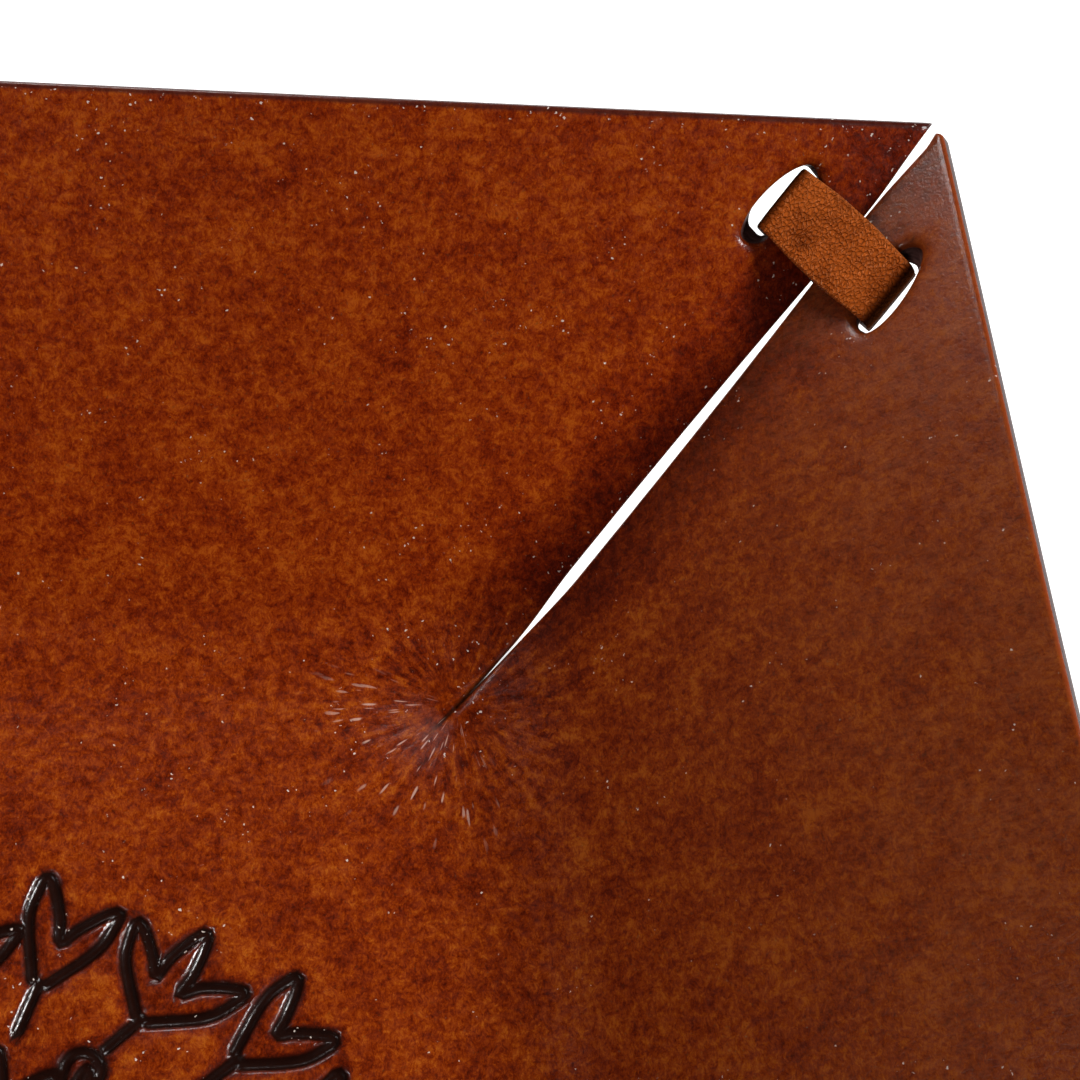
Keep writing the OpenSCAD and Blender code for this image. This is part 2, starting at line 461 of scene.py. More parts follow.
def grain_points(loops, groove_lines):
    """Points inside the grain side: rings for its rounded edges, the grooves, and grids."""
    spread = Spread(0.5)
    for loop in loops:
        spread.add(loop, 0.0)
    rings = [inset(loop, d, i == 0) for d in GRAIN_RINGS for i, loop in enumerate(loops)]
    limits = [d for d in GRAIN_RINGS for _ in loops]
    count = len(spread.points)
    for ring, limit in zip(rings, limits):
        spread.add(ring[edge_distances(ring, loops) > 0.9 * limit], 0.08 + 0.25 * limit)
    for line in groove_lines:
        spread.add(line, 0.2)
    for x in (-BASE_HALF, BASE_HALF):
        for y in (-BASE_HALF, BASE_HALF):
            for reach, step in ((11, 0.45), (PUCKER_REACH, 0.9)):
                corner = np.array([x, y])
                grid = hexagons(corner - reach, corner + reach, step)
                grid = grid[np.hypot(*(grid - corner).T) < reach]
                spread.add(grid[edge_distances(grid, loops) > 0.3], 0.75 * step)
    rim = BASE_HALF + WALL_RUN
    grid = hexagons((-rim, -rim), (rim, rim), 1.9)
    spread.add(grid[edge_distances(grid, loops) > 0.8], 1.4)
    return np.array(spread.points[count:])


def flesh_points(loops):
    """Points inside the flesh side: rings for its rounded edges, and a grid."""
    spread = Spread(1.0)
    for loop in loops:
        spread.add(loop, 0.0)
    count = len(spread.points)
    for d in FLESH_RINGS:
        for i, loop in enumerate(loops):
            ring = inset(loop, d, i == 0)
            spread.add(ring[edge_distances(ring, loops) > 0.9 * d], 0.08)
    rim = BASE_HALF + WALL_RUN
    grid = hexagons((-rim, -rim), (rim, rim), 2.6)
    spread.add(grid[edge_distances(grid, loops) > 1.2], 2.0)
    return np.array(spread.points[count:])


def rounded(distance, radius):
    """Depth of a rounded edge at a distance from it."""
    d = np.clip(distance, 0, radius)
    return radius - np.sqrt(np.maximum(radius ** 2 - (radius - d) ** 2, 0))


def waves(flat, scale, seed):
    """Smooth noise over the flat sheet, about -1 to 1."""
    return np.array([noise.noise((x * scale, y * scale, seed)) for x, y in flat])


def puckers(flat):
    """Height of the folds that fan out from the end of each dart, sharpest over the base."""
    r, turn = near_corner(flat)
    out = np.zeros(len(flat))
    for i in np.where(r < PUCKER_REACH)[0]:
        seed = 7.0 * (flat[i, 0] > 0) + 13.0 * (flat[i, 1] > 0)
        fold_ = noise.noise((turn[i] * 3.6, r[i] * 0.09, seed))
        fine = noise.noise((turn[i] * 8.5, r[i] * 0.16, seed + 5))
        ridge = (1 - min(1, 2.6 * abs(fine))) ** 2
        inwards = 0.5 - 0.5 * math.cos(turn[i] - math.pi / 4)
        share = 0.35 * fold_ + (0.15 + 0.85 * inwards ** 2) * (0.5 * ridge - 0.2)
        out[i] = share * math.exp(-(r[i] / 10.5) ** 2) * r[i] / (r[i] + 1.5)
    return out


def dart_end(flat):
    """Height of the bead and the crease where a dart's two edges press together."""
    x, y = (abs(flat) - BASE_HALF).T
    past = (x + y) / math.sqrt(2)
    across = (y - x) / math.sqrt(2)
    bead = np.exp(-((across - 0.55) / 0.42) ** 2) * ease((past + 4) / 5) * (1 - ease((past - 7) / 9))
    crease = np.exp(-((across + 0.25) / 0.38) ** 2) * ease((past + 6) / 6) * (1 - ease((past - 2) / 8))
    return BEAD * bead - CREASE * crease


def grain_depth(flat, loops, groove, slot):
    """How far the grain side lies below the sheet's plain inner surface."""
    edge = edge_distances(flat, loops)
    depth = rounded(edge, EDGE_ROUND)
    depth += SLOT_DIP * np.clip(1 - slot / SLOT_DIP_REACH, 0, 1) ** 2
    depth += GROOVE_DEPTH * (1 - ease((groove - 0.1) / (GROOVE_HALF + 0.15)))
    depth -= 0.10 * ease((groove - 0.5) / 0.6) * (1 - ease((groove - 1.1) / 1.6))
    depth -= PUCKER * puckers(flat) + dart_end(flat)
    calm = ease((slot - 2) / 8)
    depth -= (0.10 * waves(flat, 0.045, 3.0) + 0.03 * waves(flat, 0.22, 8.0)) * calm
    return depth


def mesh_object(name, points, faces, materials, face_materials):
    """A smooth mesh object from points in millimetres."""
    mesh = bpy.data.meshes.new(name)
    mesh.from_pydata((np.asarray(points) * MM).tolist(), [], faces)
    for material in materials:
        mesh.materials.append(material)
    mesh.polygons.foreach_set("material_index", np.array(face_materials, np.int32))
    mesh.polygons.foreach_set("use_smooth", np.ones(len(faces), bool))
    mesh.set_sharp_from_angle(angle=SHARP)
    mesh.update()
    piece = bpy.data.objects.new(name, mesh)
    bpy.context.scene.collection.objects.link(piece)
    return piece


def give(piece, name, values):
    """Stores a number or a vector for each point of the mesh, for its material to read."""
    values = np.asarray(values, np.float32)
    if values.ndim == 1:
        piece.data.attributes.new(name, "FLOAT", "POINT").data.foreach_set("value", values)
    else:
        piece.data.attributes.new(name, "FLOAT_VECTOR", "POINT").data.foreach_set("vector", values.ravel())


def leather_sheet(materials):
    """The whole sheet: its grain side, its flesh side, and the cut edges between them."""
    loops = [outline()] + slot_outlines()
    dense, groove_lines = stroke_points(tree())
    grain_flat, grain_faces, grain_at = triangulate(loops, grain_points(loops, groove_lines))
    flesh_loops = [loops[0]] + slot_outlines(flesh=True)
    flesh_flat, flesh_faces, flesh_at = triangulate(flesh_loops, flesh_points(flesh_loops))

    def facts(flat, loops):
        s = np.linspace(0, WALL_RUN, 300)
        seam = np.column_stack([edge_u(s), BASE_HALF + s])
        seams = np.vstack([quarter(line, k) for k in range(4) for line in (seam, seam[:, ::-1])])
        return {
            "groove": distances(flat, nearest_in(dense), 6),
            "slot": edge_distances(flat, loops[1:]),
            "edge": edge_distances(flat, loops),
            "dart": distances(flat, nearest_in(seams), 20),
        }

    grain = facts(grain_flat, loops)
    flesh = facts(flesh_flat, flesh_loops)
    places, normals = fold(grain_flat)
    grain_low = grain_depth(grain_flat, loops, grain["groove"], grain["slot"])
    grain_places = places - normals * grain_low[:, None]
    places, normals = fold(flesh_flat)
    flesh_low = SHEET_T - rounded(flesh["edge"], FLESH_ROUND)
    flesh_places = places - normals * flesh_low[:, None]

    points = [grain_places, flesh_places]
    flats = [np.column_stack([grain_flat, grain_low]), np.column_stack([flesh_flat, flesh_low])]
    shift = len(grain_flat)
    faces = list(grain_faces) + [[v + shift for v in f[::-1]] for f in flesh_faces]
    kinds = [0] * len(grain_faces) + [2] * len(flesh_faces)
    start = 0
    for i, loop in enumerate(loops):
        n = len(loop)
        top = [grain_at[start + k] for k in range(n)]
        low = [flesh_at[start + k] + shift for k in range(n)]
        left = turns_left(loop)
        for k in range(n):
            m = (k + 1) % n
            face = [top[k], top[m], low[m], low[k]]
            faces.append(face[::-1] if left == (i == 0) else face)
            kinds.append(1)
        start += n
    piece = mesh_object("leather_sheet", np.vstack(points), faces, materials, kinds)
    give(piece, "flat", np.vstack(flats))
    for name in grain:
        give(piece, name, np.concatenate([grain[name], flesh[name]]))
    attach(piece, "tray")
    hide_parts("base_panel", "wall_right", "wall_back", "wall_left", "wall_front")
    return piece


# ---------------- the straps
def beside(side, d, h):
    """A point of the corner's section: d from the dart along a wall and h above its inner surface."""
    c, s = math.cos(VALLEY), math.sin(VALLEY)
    return np.array([side * (d * c - h * s), d * s + h * c])


def strap_route():
    """The strap's centre line in the corner's section: points and the radius of the bend at each."""
    near_edge = SLOT_FROM_DART - SLOT_W / 2 + STRAP_W / 2 * math.tan(SLOT_TURN)
    run_y = near_edge * math.sin(VALLEY) + RUN_GAP + STRAP_T / 2
    inner_h = -(SHEET_T + STRAP_GAP + STRAP_T / 2)
    outer_h = inner_h - STRAP_T - GLUE_T
    leg_mid = beside(1, SLOT_FROM_DART - LEG_SHIFT, -SHEET_T / 2)
    leg_top_x = leg_mid[0] - (run_y - leg_mid[1]) * math.tan(LEG_LEAN)
    leg_foot = SLOT_FROM_DART - LEG_SHIFT - (-inner_h - SHEET_T / 2) * math.tan(VALLEY - LEG_LEAN)
    ridge_x = (outer_h - inner_h) / (2 * math.sin(VALLEY))
    ridge = (ridge_x, ridge_x * math.tan(VALLEY) + inner_h / math.cos(VALLEY))
    places = [beside(-1, LAP_START, inner_h), beside(-1, leg_foot, inner_h), (-leg_top_x, run_y),
              (leg_top_x, run_y), beside(1, leg_foot, inner_h), ridge, beside(-1, LAP_END, outer_h)]
    return [np.array(p, float) for p in places], [0, 0.95, 0.95, 0.95, 0.95, 2.5, 0]


def rounded_route(places, radii, step=0.3, turn_step=7):
    """Stations of the centre line, with round bends: x, y, heading."""
    runs = [[places[0]]]
    for a, b, c, r in zip(places, places[1:], places[2:], radii[1:]):
        into, out = (b - a) / np.linalg.norm(b - a), (c - b) / np.linalg.norm(c - b)
        turn = math.atan2(into[0] * out[1] - into[1] * out[0], into @ out)
        start = b - into * r * math.tan(abs(turn) / 2)
        side = math.copysign(1, turn)
        centre = start + side * r * np.array([-into[1], into[0]])
        first = math.atan2(into[1], into[0])
        steps = max(2, math.ceil(abs(math.degrees(turn)) / turn_step))
        angles = [first + turn * k / steps for k in range(steps + 1)]
        arc = [centre + side * r * np.array([math.sin(h), -math.cos(h)]) for h in angles]
        runs.append(arc)
    runs.append([places[-1]])
    line = []
    for before, after in zip(runs, runs[1:]):
        line += before if len(before) > 1 else list(before)
        a, b = before[-1], after[0]
        n = max(1, int(np.linalg.norm(b - a) / step))
        line += [a + (b - a) * k / n for k in range(1, n)]
    line += runs[-1]
    line = np.array(line)
    ahead = np.gradient(line, axis=0)
    return line, np.arctan2(ahead[:, 1], ahead[:, 0])


def strap_section(width):
    """The strap's cross-section: along its width and its thickness, rounded and a little crowned."""
    r = STRAP_ROUND
    half_w = width / 2
    half_t = STRAP_T / 2
    flat = np.linspace(-half_w + r, half_w - r, 23)
    arc = np.linspace(0, math.pi / 2, 5)[1:-1]
    corner = [(half_w - r + r * math.sin(a), half_t - STRAP_CROWN - r + r * math.cos(a)) for a in arc]
    out = []
    for side in (1, -1):
        for z in flat * -side:
            out.append((z, side * (half_t - STRAP_CROWN * (abs(z) / half_w) ** 4)))
        out += [(-side * z, side * t) for z, t in corner]
        out += [(-side * z, -side * t) for z, t in corner[::-1]]
    return np.array(out)


def strap_mesh(name, turns, materials):
    """One strap in the corner that lies some quarter turns from the back right one."""
    places, radii = strap_route()
    line, headings = rounded_route(places, radii)
    gone = np.concatenate([[0], np.cumsum(np.hypot(*np.diff(line, axis=0).T))])
    top_from = gone[np.argmin(abs(line[:, 0] - places[2][0]) + abs(line[:, 1] - places[2][1]))]
    top_to = gone[np.argmin(abs(line[:, 0] - places[3][0]) + abs(line[:, 1] - places[3][1]))]
    points, facts, sides = [], [], []
    for k, ((x, y), h) in enumerate(zip(line, headings)):
        on_top = ease((gone[k] - top_from) / EASE_RUN) * ease((top_to - gone[k]) / EASE_RUN)
        width = LEG_W + (STRAP_W - LEG_W) * float(on_top)
        section = strap_section(width)
        for z, t in section:
            bumps = 0.02 * noise.noise((gone[k] * 1.9, z * 1.9, turns * 9.0 + (t > 0)))
            off = t + math.copysign(bumps, t)
            px = x - off * math.sin(h)
            points.append((px, y + off * math.cos(h), z + px * math.tan(SKEW)))
            facts.append((gone[k], z, t))
            sides.append(width / 2 - abs(z))
    n = len(section)
    faces, kinds = [], []
    for k in range(len(line) - 1):
        for i in range(n):
            j = (i + 1) % n
            faces.append([k * n + i, k * n + j, (k + 1) * n + j, (k + 1) * n + i])
            mean = (section[i][1] + section[j][1]) / 2
            kinds.append(0 if mean > 0.5 * STRAP_T - 0.25 else 1)
    faces += [list(range(n))[::-1], list(range((len(line) - 1) * n, len(line) * n))]
    kinds += [1, 1]
    piece = mesh_object(name, to_corner(np.array(points), turns), faces, materials, kinds)
    give(piece, "strap", np.array(facts))
    give(piece, "side", sides)
    run = [(g - top_from) / (top_to - top_from) for g, _, _ in facts]
    give(piece, "run", run)
    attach(piece, name + "_body")
    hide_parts(name)
    return piece


def to_corner(points, turns):
    """Points of the corner frame (across the dart, inwards, up along the dart) as places of the tray."""
    reach, height = (float(v[0]) for v in rise(np.array([CORNER_SLOPE]), np.array([STRAP_UP_WALL])))
    r = BASE_HALF + reach
    turned = Matrix.Rotation(turns * math.pi / 2, 4, "Z")
    moved = Matrix.Translation((r, r, SHEET_T + height))
    faced = Matrix.Rotation(math.radians(135), 4, "Z")
    tipped = Matrix.Rotation(math.pi / 2 - DART_TILT, 4, "X")
    m = np.array(turned @ moved @ faced @ tipped)
    return points @ m[:3, :3].T + m[:3, 3]


# ---------------- shader building
class Shader:
    """A Principled material and the few nodes that these leathers need."""

    def __init__(self, name, **settings):
        self.material = bpy.data.materials.new(name)
        self.material.use_nodes = True
        self.tree = self.material.node_tree
        self.bsdf = self.tree.nodes["Principled BSDF"]
        for key, value in settings.items():
            self.look(key.replace("_", " "), value)

    def look(self, name, value):
        self.feed(self.bsdf.inputs[name], value)

    def feed(self, socket, value):
        """Links a node's output to a socket, or sets the socket itself."""
        if isinstance(value, bpy.types.NodeSocket):
            self.tree.links.new(value, socket)
        else:
            socket.default_value = value

    def put(self, kind, inputs, **settings):
        """A new node with its settings and inputs."""
        node = self.tree.nodes.new("ShaderNode" + kind)
        for key, value in settings.items():
            setattr(node, key, value)
        for key, value in inputs.items():
            self.feed(node.inputs[key], value)
        return node

    def stored(self, name, output="Fac"):
        """A value that is kept at the mesh's points."""
        return self.put("Attribute", {}, attribute_name=name).outputs[output]

    def math(self, operation, a, b=0.0, c=0.0):
        return self.put("Math", {0: a, 1: b, 2: c}, operation=operation).outputs[0]

    def times(self, product, *others):
        for other in others:
            product = self.math("MULTIPLY", product, other)
        return product

    def plus(self, total, value, weight):
        return self.math("MULTIPLY_ADD", value, weight, total)

    def vector(self, operation, a, b=(0, 0, 0)):
        inputs = {0: a, "Scale": b} if operation == "SCALE" else {0: a, 1: b}
        return self.put("VectorMath", inputs, operation=operation).outputs[0]

    def place(self, x, y, z):
        return self.put("CombineXYZ", {0: x, 1: y, 2: z}).outputs[0]

    def warp(self, where, scale, amount):
        """The place pushed about by noise."""
        push = self.put("TexNoise", {"Vector": where, "Scale": scale, "Detail": 2.0}).outputs["Color"]
        push = self.vector("SCALE", self.vector("SUBTRACT", push, (0.5, 0.5, 0.5)), amount)
        return self.vector("ADD", where, push)

    def noise(self, where, scale, detail=4.0, rough=0.55, distort=0.0):
        inputs = {"Vector": where, "Scale": scale, "Detail": detail}
        inputs.update({"Roughness": rough, "Distortion": distort})
        return self.put("TexNoise", inputs).outputs["Fac"]

    def cells(self, where, scale, feature="F1"):
        inputs = {"Vector": where, "Scale": scale}
        return self.put("TexVoronoi", inputs, feature=feature).outputs["Distance"]

    def between(self, value, low, high, to_low=0.0, to_high=1.0):
        """A smooth step from one number to another as the value goes from low to high."""
        inputs = {"Value": value, "From Min": low, "From Max": high, "To Min": to_low, "To Max": to_high}
        return self.put("MapRange", inputs, interpolation_type="SMOOTHSTEP").outputs[0]

    def fade(self, value, low, high):
        """A smooth step from 1 down to 0 as the value goes from low to high."""
        return self.between(value, low, high, 1.0, 0.0)

    def mix(self, share, a, b, blend="MIX"):
        return self.put("Mix", {0: share, 6: a, 7: b}, data_type="RGBA", blend_type=blend).outputs[2]

    def ramp(self, value, stops):
        """A colour that goes through the stops, each a value with its red, green and blue."""
        node = self.put("ValToRGB", {"Fac": value})
        while len(node.color_ramp.elements) < len(stops):
            node.color_ramp.elements.new(0.5)
        for element, (place, paint) in zip(node.color_ramp.elements, stops):
            element.position = place
            element.color = colour(*paint)
        return node.outputs["Color"]

    def bump(self, height, distance, normal=None):
        inputs = {"Height": height, "Distance": distance, "Strength": 1.0}
        if normal is not None:
            inputs["Normal"] = normal
        return self.put("Bump", inputs).outputs["Normal"]


def colour(r, g, b):
    return (r, g, b, 1)


# ---------------- the sheet's grain side
class Grain:
    """What the grain side's looks depend on: distances, directions and shared noises."""

    def __init__(self, s):
        self.where = s.stored("flat", "Vector")
        self.groove = s.stored("groove")
        self.dart = s.stored("dart")
        self.slot = s.stored("slot")
        self.edge = s.stored("edge")
        self.r, self.turn, self.quadrant = corner_polar(s, self.where)
        self.furthest, more_y = reach_and_side(s, self.where)
        self.up_wall = s.between(self.furthest, 60.0, 88.0)
        self.on_back = s.between(more_y, -6.0, 8.0)
        self.off_back = s.fade(self.on_back, 0.0, 1.0)
        rays = s.place(s.times(self.turn, 10.0), s.times(self.r, 0.22), self.quadrant)
        self.fan = s.noise(rays, 1.0, 6.0, 0.65)
        self.mottle = s.noise(s.warp(self.where, 0.5, 1.2), 0.75, 8.0, 0.70, 0.1)
        strands = s.vector("MULTIPLY", s.warp(self.where, 0.5, 1.5), (1.5, 0.75, 1.0))
        self.fibre = s.noise(strands, 2.6, 7.0, 0.80)
        self.veins = s.times(vein_lines(s, self.where), s.between(self.mottle, 0.40, 0.60, 1.0, 0.3))
        self.ink = s.fade(self.groove, 0.55, 1.0)


def corner_polar(s, where):
    """Distance and direction from the nearest dart's end, and a number that differs in each corner."""
    split = s.put("SeparateXYZ", {"Vector": where})
    x = s.math("SUBTRACT", s.math("ABSOLUTE", split.outputs[0]), BASE_HALF)
    y = s.math("SUBTRACT", s.math("ABSOLUTE", split.outputs[1]), BASE_HALF)
    r = s.math("SQRT", s.math("ADD", s.math("POWER", x, 2.0), s.math("POWER", y, 2.0)))
    turn = s.math("ARCTAN2", y, x)
    sign_y = s.times(s.math("SIGN", split.outputs[1]), 2.0)
    quadrant = s.math("ADD", s.math("SIGN", split.outputs[0]), sign_y)
    return r, turn, quadrant


def reach_and_side(s, where):
    """The larger of the flat place's |x| and |y|, and how much |y| is more than |x|."""
    split = s.put("SeparateXYZ", {"Vector": where})
    x = s.math("ABSOLUTE", split.outputs[0])
    y = s.math("ABSOLUTE", split.outputs[1])
    return s.math("MAXIMUM", x, y), s.math("SUBTRACT", y, x)


def outwards(s, turn):
    """1 straight out along the dart from its end, and -1 straight back over the base."""
    return s.math("COSINE", s.math("SUBTRACT", turn, math.pi / 4))


def grain_leather():
    """The sheet's grain side: glossy oil-dyed red brown, mottled, darker round the darts and rims."""
    s = Shader("sheet_grain", Coat_Roughness=0.06)
    g = Grain(s)
    dye = grain_marks(s, g, grain_dye_and_painted_light(s, g, grain_tone(s, g)))
    s.look("Base Color", dye)
    grain_gloss(s, g)
    grain_relief(s, g)
    return s.material


def grain_tone(s, g):
    """How light the dye is: mottled, streaked with painted shade and light along the folds at a dart's end,
    and darker by the darts, the veins and the grooves.
    """
    near = s.times(s.between(g.r, 1.5, 7.0), s.between(g.r, 8.0, 30.0, 0.7, 0.0))
    band = s.times(s.fade(g.dart, 0.5, 13.0), s.between(g.r, 3.0, 22.0, 0.15, 1.0))
    tone = s.times(s.noise(g.where, 0.15, 6.0, 0.62, 0.3), 0.36)
    tone = s.plus(tone, g.mottle, 0.62)
    tone = s.plus(tone, g.fibre, 0.72)
    # painted shade in the folds' creases and painted light on their ridges, fanning out from a dart's end
    tone = s.plus(tone, s.math("SUBTRACT", g.fan, 0.5), near)
    tone = s.plus(tone, band, -0.13)
    tone = s.plus(tone, g.veins, -0.04)
    tone = s.plus(tone, s.fade(g.groove, 1.0, 4.5), 0.05)
    tone = s.plus(tone, s.fade(g.groove, 0.7, 1.9), -0.16)
    return s.math("ADD", tone, s.between(g.up_wall, 0.0, 1.0, -0.03, 0.02))


def grain_dye_and_painted_light(s, g, tone):
    """The dye's red brown with painted light: redder up the back and front walls, where no sheen falls, and
    with painted shade and a pale painted haze of reflected light up the right and left ones.
    """
    dye = s.ramp(tone, [(0.65, (0.085, 0.006, 0.0)), (0.77, (0.205, 0.018, 0.0006)),
                        (0.88, (0.36, 0.048, 0.002)), (1.0, (0.56, 0.125, 0.008))])
    # painted light: a deeper red up the back and front walls, for their look where no sheen of reflected
    # light falls
    red = s.times(g.on_back, g.up_wall, 0.6)
    dye = s.mix(red, dye, colour(1.0, 0.72, 0.50), "MULTIPLY")
    # painted shade up the left and right walls
    shade = s.times(g.up_wall, g.off_back)
    dye = s.mix(shade, dye, colour(0.84, 0.82, 0.75), "MULTIPLY")
    # painted haze: a pale tan veil of reflected light up the left and right walls, strongest high up and
    # near the darts
    painted_haze_share = s.times(g.off_back, s.fade(g.dart, 8.0, 60.0), s.between(g.furthest, 85.0, 138.0))
    painted_haze_share = s.times(painted_haze_share, haze_patches(s, g.where))
    return s.mix(painted_haze_share, dye, colour(0.50, 0.135, 0.035))


def grain_marks(s, g, dye):
    """The dye with its marks, its painted shade and its painted highlights, from pinholes to glints, each
    as a share and a colour.
    """
    pinholes = s.times(s.fade(s.cells(g.where, 0.33), 0.0, 0.035), 0.75)
    # paler along the cut edges: strongly on the left and right walls, faintly on the back and front
    pale_edges = s.times(s.fade(g.edge, 0.10, 0.55), s.between(g.on_back, 0.0, 1.0, 0.8, 0.15))
    rim = s.times(s.between(g.furthest, 139.1, 139.6, 0.0, 0.85), g.on_back)
    burnt = s.times(s.fade(g.slot, 0.2, 1.6), 0.3)
    marks = [
        (pinholes, colour(0.020, 0.004, 0.001)),
        (pale_edges, colour(0.36, 0.060, 0.012)),
        (rim, colour(0.055, 0.010, 0.007)),
        (burnt, colour(0.05, 0.008, 0.001)),
        (s.times(g.ink, 0.97), colour(0.012, 0.0035, 0.0020)),
        # painted shade in the crease where a dart's edges press together
        (s.times(crease_shade(s, g), 0.85), colour(0.015, 0.004, 0.001)),
        # painted highlights: tiny pinkish-white sparkles
        (painted_sparkles(s, g), colour(0.95, 0.78, 0.68)),
        (s.times(glints(s, g), 0.85), colour(0.85, 0.50, 0.38)),
    ]
    for share, paint in marks:
        dye = s.mix(share, dye, paint)
    return dye


def grain_gloss(s, g):
    """Duller in the grooves and at a dart's end, with a thick shiny coat on the grooves' shoulders."""
    dull = s.between(s.noise(g.where, 0.7, 5.0, 0.6), 0.35, 0.7, 0.24, 0.38)
    s.look("Roughness", s.plus(dull, g.ink, 0.15))
    calm = s.between(g.r, 0.5, 6.0, 0.25, 1.0)
    s.look("Specular IOR Level", s.times(calm, s.between(g.ink, 0.0, 1.0, 0.22, 0.06)))
    shoulder = s.times(s.between(g.groove, 0.15, 0.45), s.fade(g.groove, 0.85, 1.15))
    shiny = s.between(s.noise(g.where, 0.16, 2.0), 0.42, 0.58, 0.12, 1.0)
    coat = s.times(calm, s.between(g.groove, 0.6, 1.3, 0.0, 0.18))
    s.look("Coat Weight", s.plus(coat, shoulder, shiny))


def grain_relief(s, g):
    """The grain, its veins and the fine ridges at a dart's end, and lacquer that lies uneven over them."""
    grain = s.plus(s.times(s.cells(g.where, 2.4), 0.5), g.fibre, 0.7)
    grain = s.plus(grain, g.veins, -0.3)
    inwards = s.plus(0.55, outwards(s, g.turn), -0.5)
    ridges = s.times(g.fan, inwards, s.fade(g.r, 4.0, 24.0), s.between(g.r, 1.0, 5.0))
    shape = s.bump(ridges, 0.00022, s.bump(grain, 0.000022))
    s.look("Normal", shape)
    beads = s.between(s.noise(g.where, 2.4, 3.0, 0.6), 0.60, 0.72)
    s.look("Coat Normal", s.bump(beads, 0.00012, shape))


def haze_patches(s, where):
    """Soft patches and streaks that break up the painted haze of reflected light."""
    cloud = s.between(s.noise(where, 0.12, 4.0, 0.6), 0.25, 0.7, 0.12, 0.42)
    stretched = s.vector("MULTIPLY", s.warp(where, 0.3, 2.0), (0.5, 2.0, 1.0))
    haze_streaks = s.noise(stretched, 1.6, 4.0, 0.7)
    return s.times(cloud, s.between(haze_streaks, 0.35, 0.65, 0.4, 1.3))


def crease_shade(s, g):
    """The dark line of painted shade where a dart's edges press together, running on a little way into the
    base.
    """
    aside = s.math("ABSOLUTE", s.math("SINE", s.math("SUBTRACT", g.turn, math.pi / 4)))
    on_base = s.fade(s.times(g.r, aside), 0.08, 0.42)
    on_base = s.times(on_base, s.fade(outwards(s, g.turn), -0.3, 0.0), s.fade(g.r, 2.5, 7.0))
    on_seam = s.times(s.fade(g.dart, 0.05, 0.5), s.fade(g.r, 9.0, 15.0))
    return s.math("MAXIMUM", on_base, on_seam)


def vein_lines(s, where):
    """Fine dark creases that cross the grain."""
    warped = s.warp(s.vector("MULTIPLY", where, (0.55, 0.95, 1.0)), 1.2, 0.9)
    return s.fade(s.cells(warped, 0.9, "DISTANCE_TO_EDGE"), 0.0, 0.09)


def painted_sparkles(s, g):
    """Tiny painted sparkles of highlight, gathered along the rims and round the end of each dart."""
    cluster = s.noise(g.where, 0.11, 2.0, 0.5)
    fine = s.noise(g.where, 0.45, 2.0, 0.5)
    small = s.noise(g.where, 1.1, 1.0)
    spread = s.cells(s.warp(g.where, 2.0, 0.7), 1.15)
    spread = s.math("ADD", spread, s.between(small, 0.42, 0.62, 0.09, -0.03))
    on_rim = s.times(s.between(g.edge, 0.35, 0.8), s.fade(g.edge, 1.5, 2.4))
    level = s.plus(s.times(cluster, 0.5), fine, 0.5)
    level = s.plus(level, s.times(on_rim, g.on_back), 0.18)
    level = s.math("ADD", level, s.between(g.r, 4.0, 26.0, 0.05, 0.0))
    level = s.plus(level, g.on_back, 0.03)
    return s.times(s.fade(spread, 0.12, 0.17), s.between(level, 0.58, 0.60, 0.0, 0.95))


def glints(s, g):
    """Bright streaks on the ridges that fan out from the end of a dart over the base."""
    rays = s.place(s.times(g.turn, 16.0), s.times(g.r, 0.24), g.quadrant)
    spots = s.fade(s.cells(s.warp(rays, 1.5, 0.5), 1.0), 0.14, 0.26)
    ring = s.times(s.between(g.r, 1.5, 4.0), s.fade(g.r, 11.0, 21.0))
    ring = s.times(ring, s.fade(outwards(s, g.turn), -0.8, -0.2))
    return s.times(s.times(spots, ring), s.between(s.noise(rays, 0.6, 2.0), 0.36, 0.48))


# ---------------- the other leathers
def cut_edge():
    """The sheet's cut edge: layered fibres, burnished to a dull lavender brown."""
    s = Shader("sheet_cut_edge", Roughness=0.5, Specular_IOR_Level=0.4)
    where = s.stored("flat", "Vector")
    layers = s.noise(s.vector("MULTIPLY", where, (0.6, 0.6, 5.0)), 1.0, 5.0, 0.65)
    dye = s.ramp(layers, [(0.3, (0.030, 0.010, 0.008)), (0.5, (0.075, 0.028, 0.024)),
                          (0.72, (0.15, 0.068, 0.060))])
    s.look("Base Color", dye)
    s.look("Normal", s.bump(layers, 0.00008))
    return s.material


def flesh_side():
    """The outside of the tray: the hide's flesh side, a short brown nap."""
    s = Shader("sheet_flesh", Roughness=0.88, Specular_IOR_Level=0.12,
               Sheen_Weight=0.06, Sheen_Roughness=0.5)
    where = s.stored("flat", "Vector")
    nap = s.noise(where, 3.2, 6.0, 0.72)
    cloud = s.noise(where, 0.12, 5.0, 0.6)
    strands = s.noise(s.vector("MULTIPLY", where, (0.5, 2.2, 1.0)), 1.0, 6.0, 0.7, 1.2)
    tone = s.plus(s.times(nap, 0.35), cloud, 0.4)
    tone = s.plus(tone, strands, 0.25)
    dye = s.ramp(tone, [(0.36, (0.070, 0.023, 0.008)), (0.5, (0.165, 0.060, 0.022)),
                        (0.64, (0.29, 0.120, 0.048))])
    s.look("Base Color", dye)
    s.look("Normal", s.bump(tone, 0.00022))
    return s.material


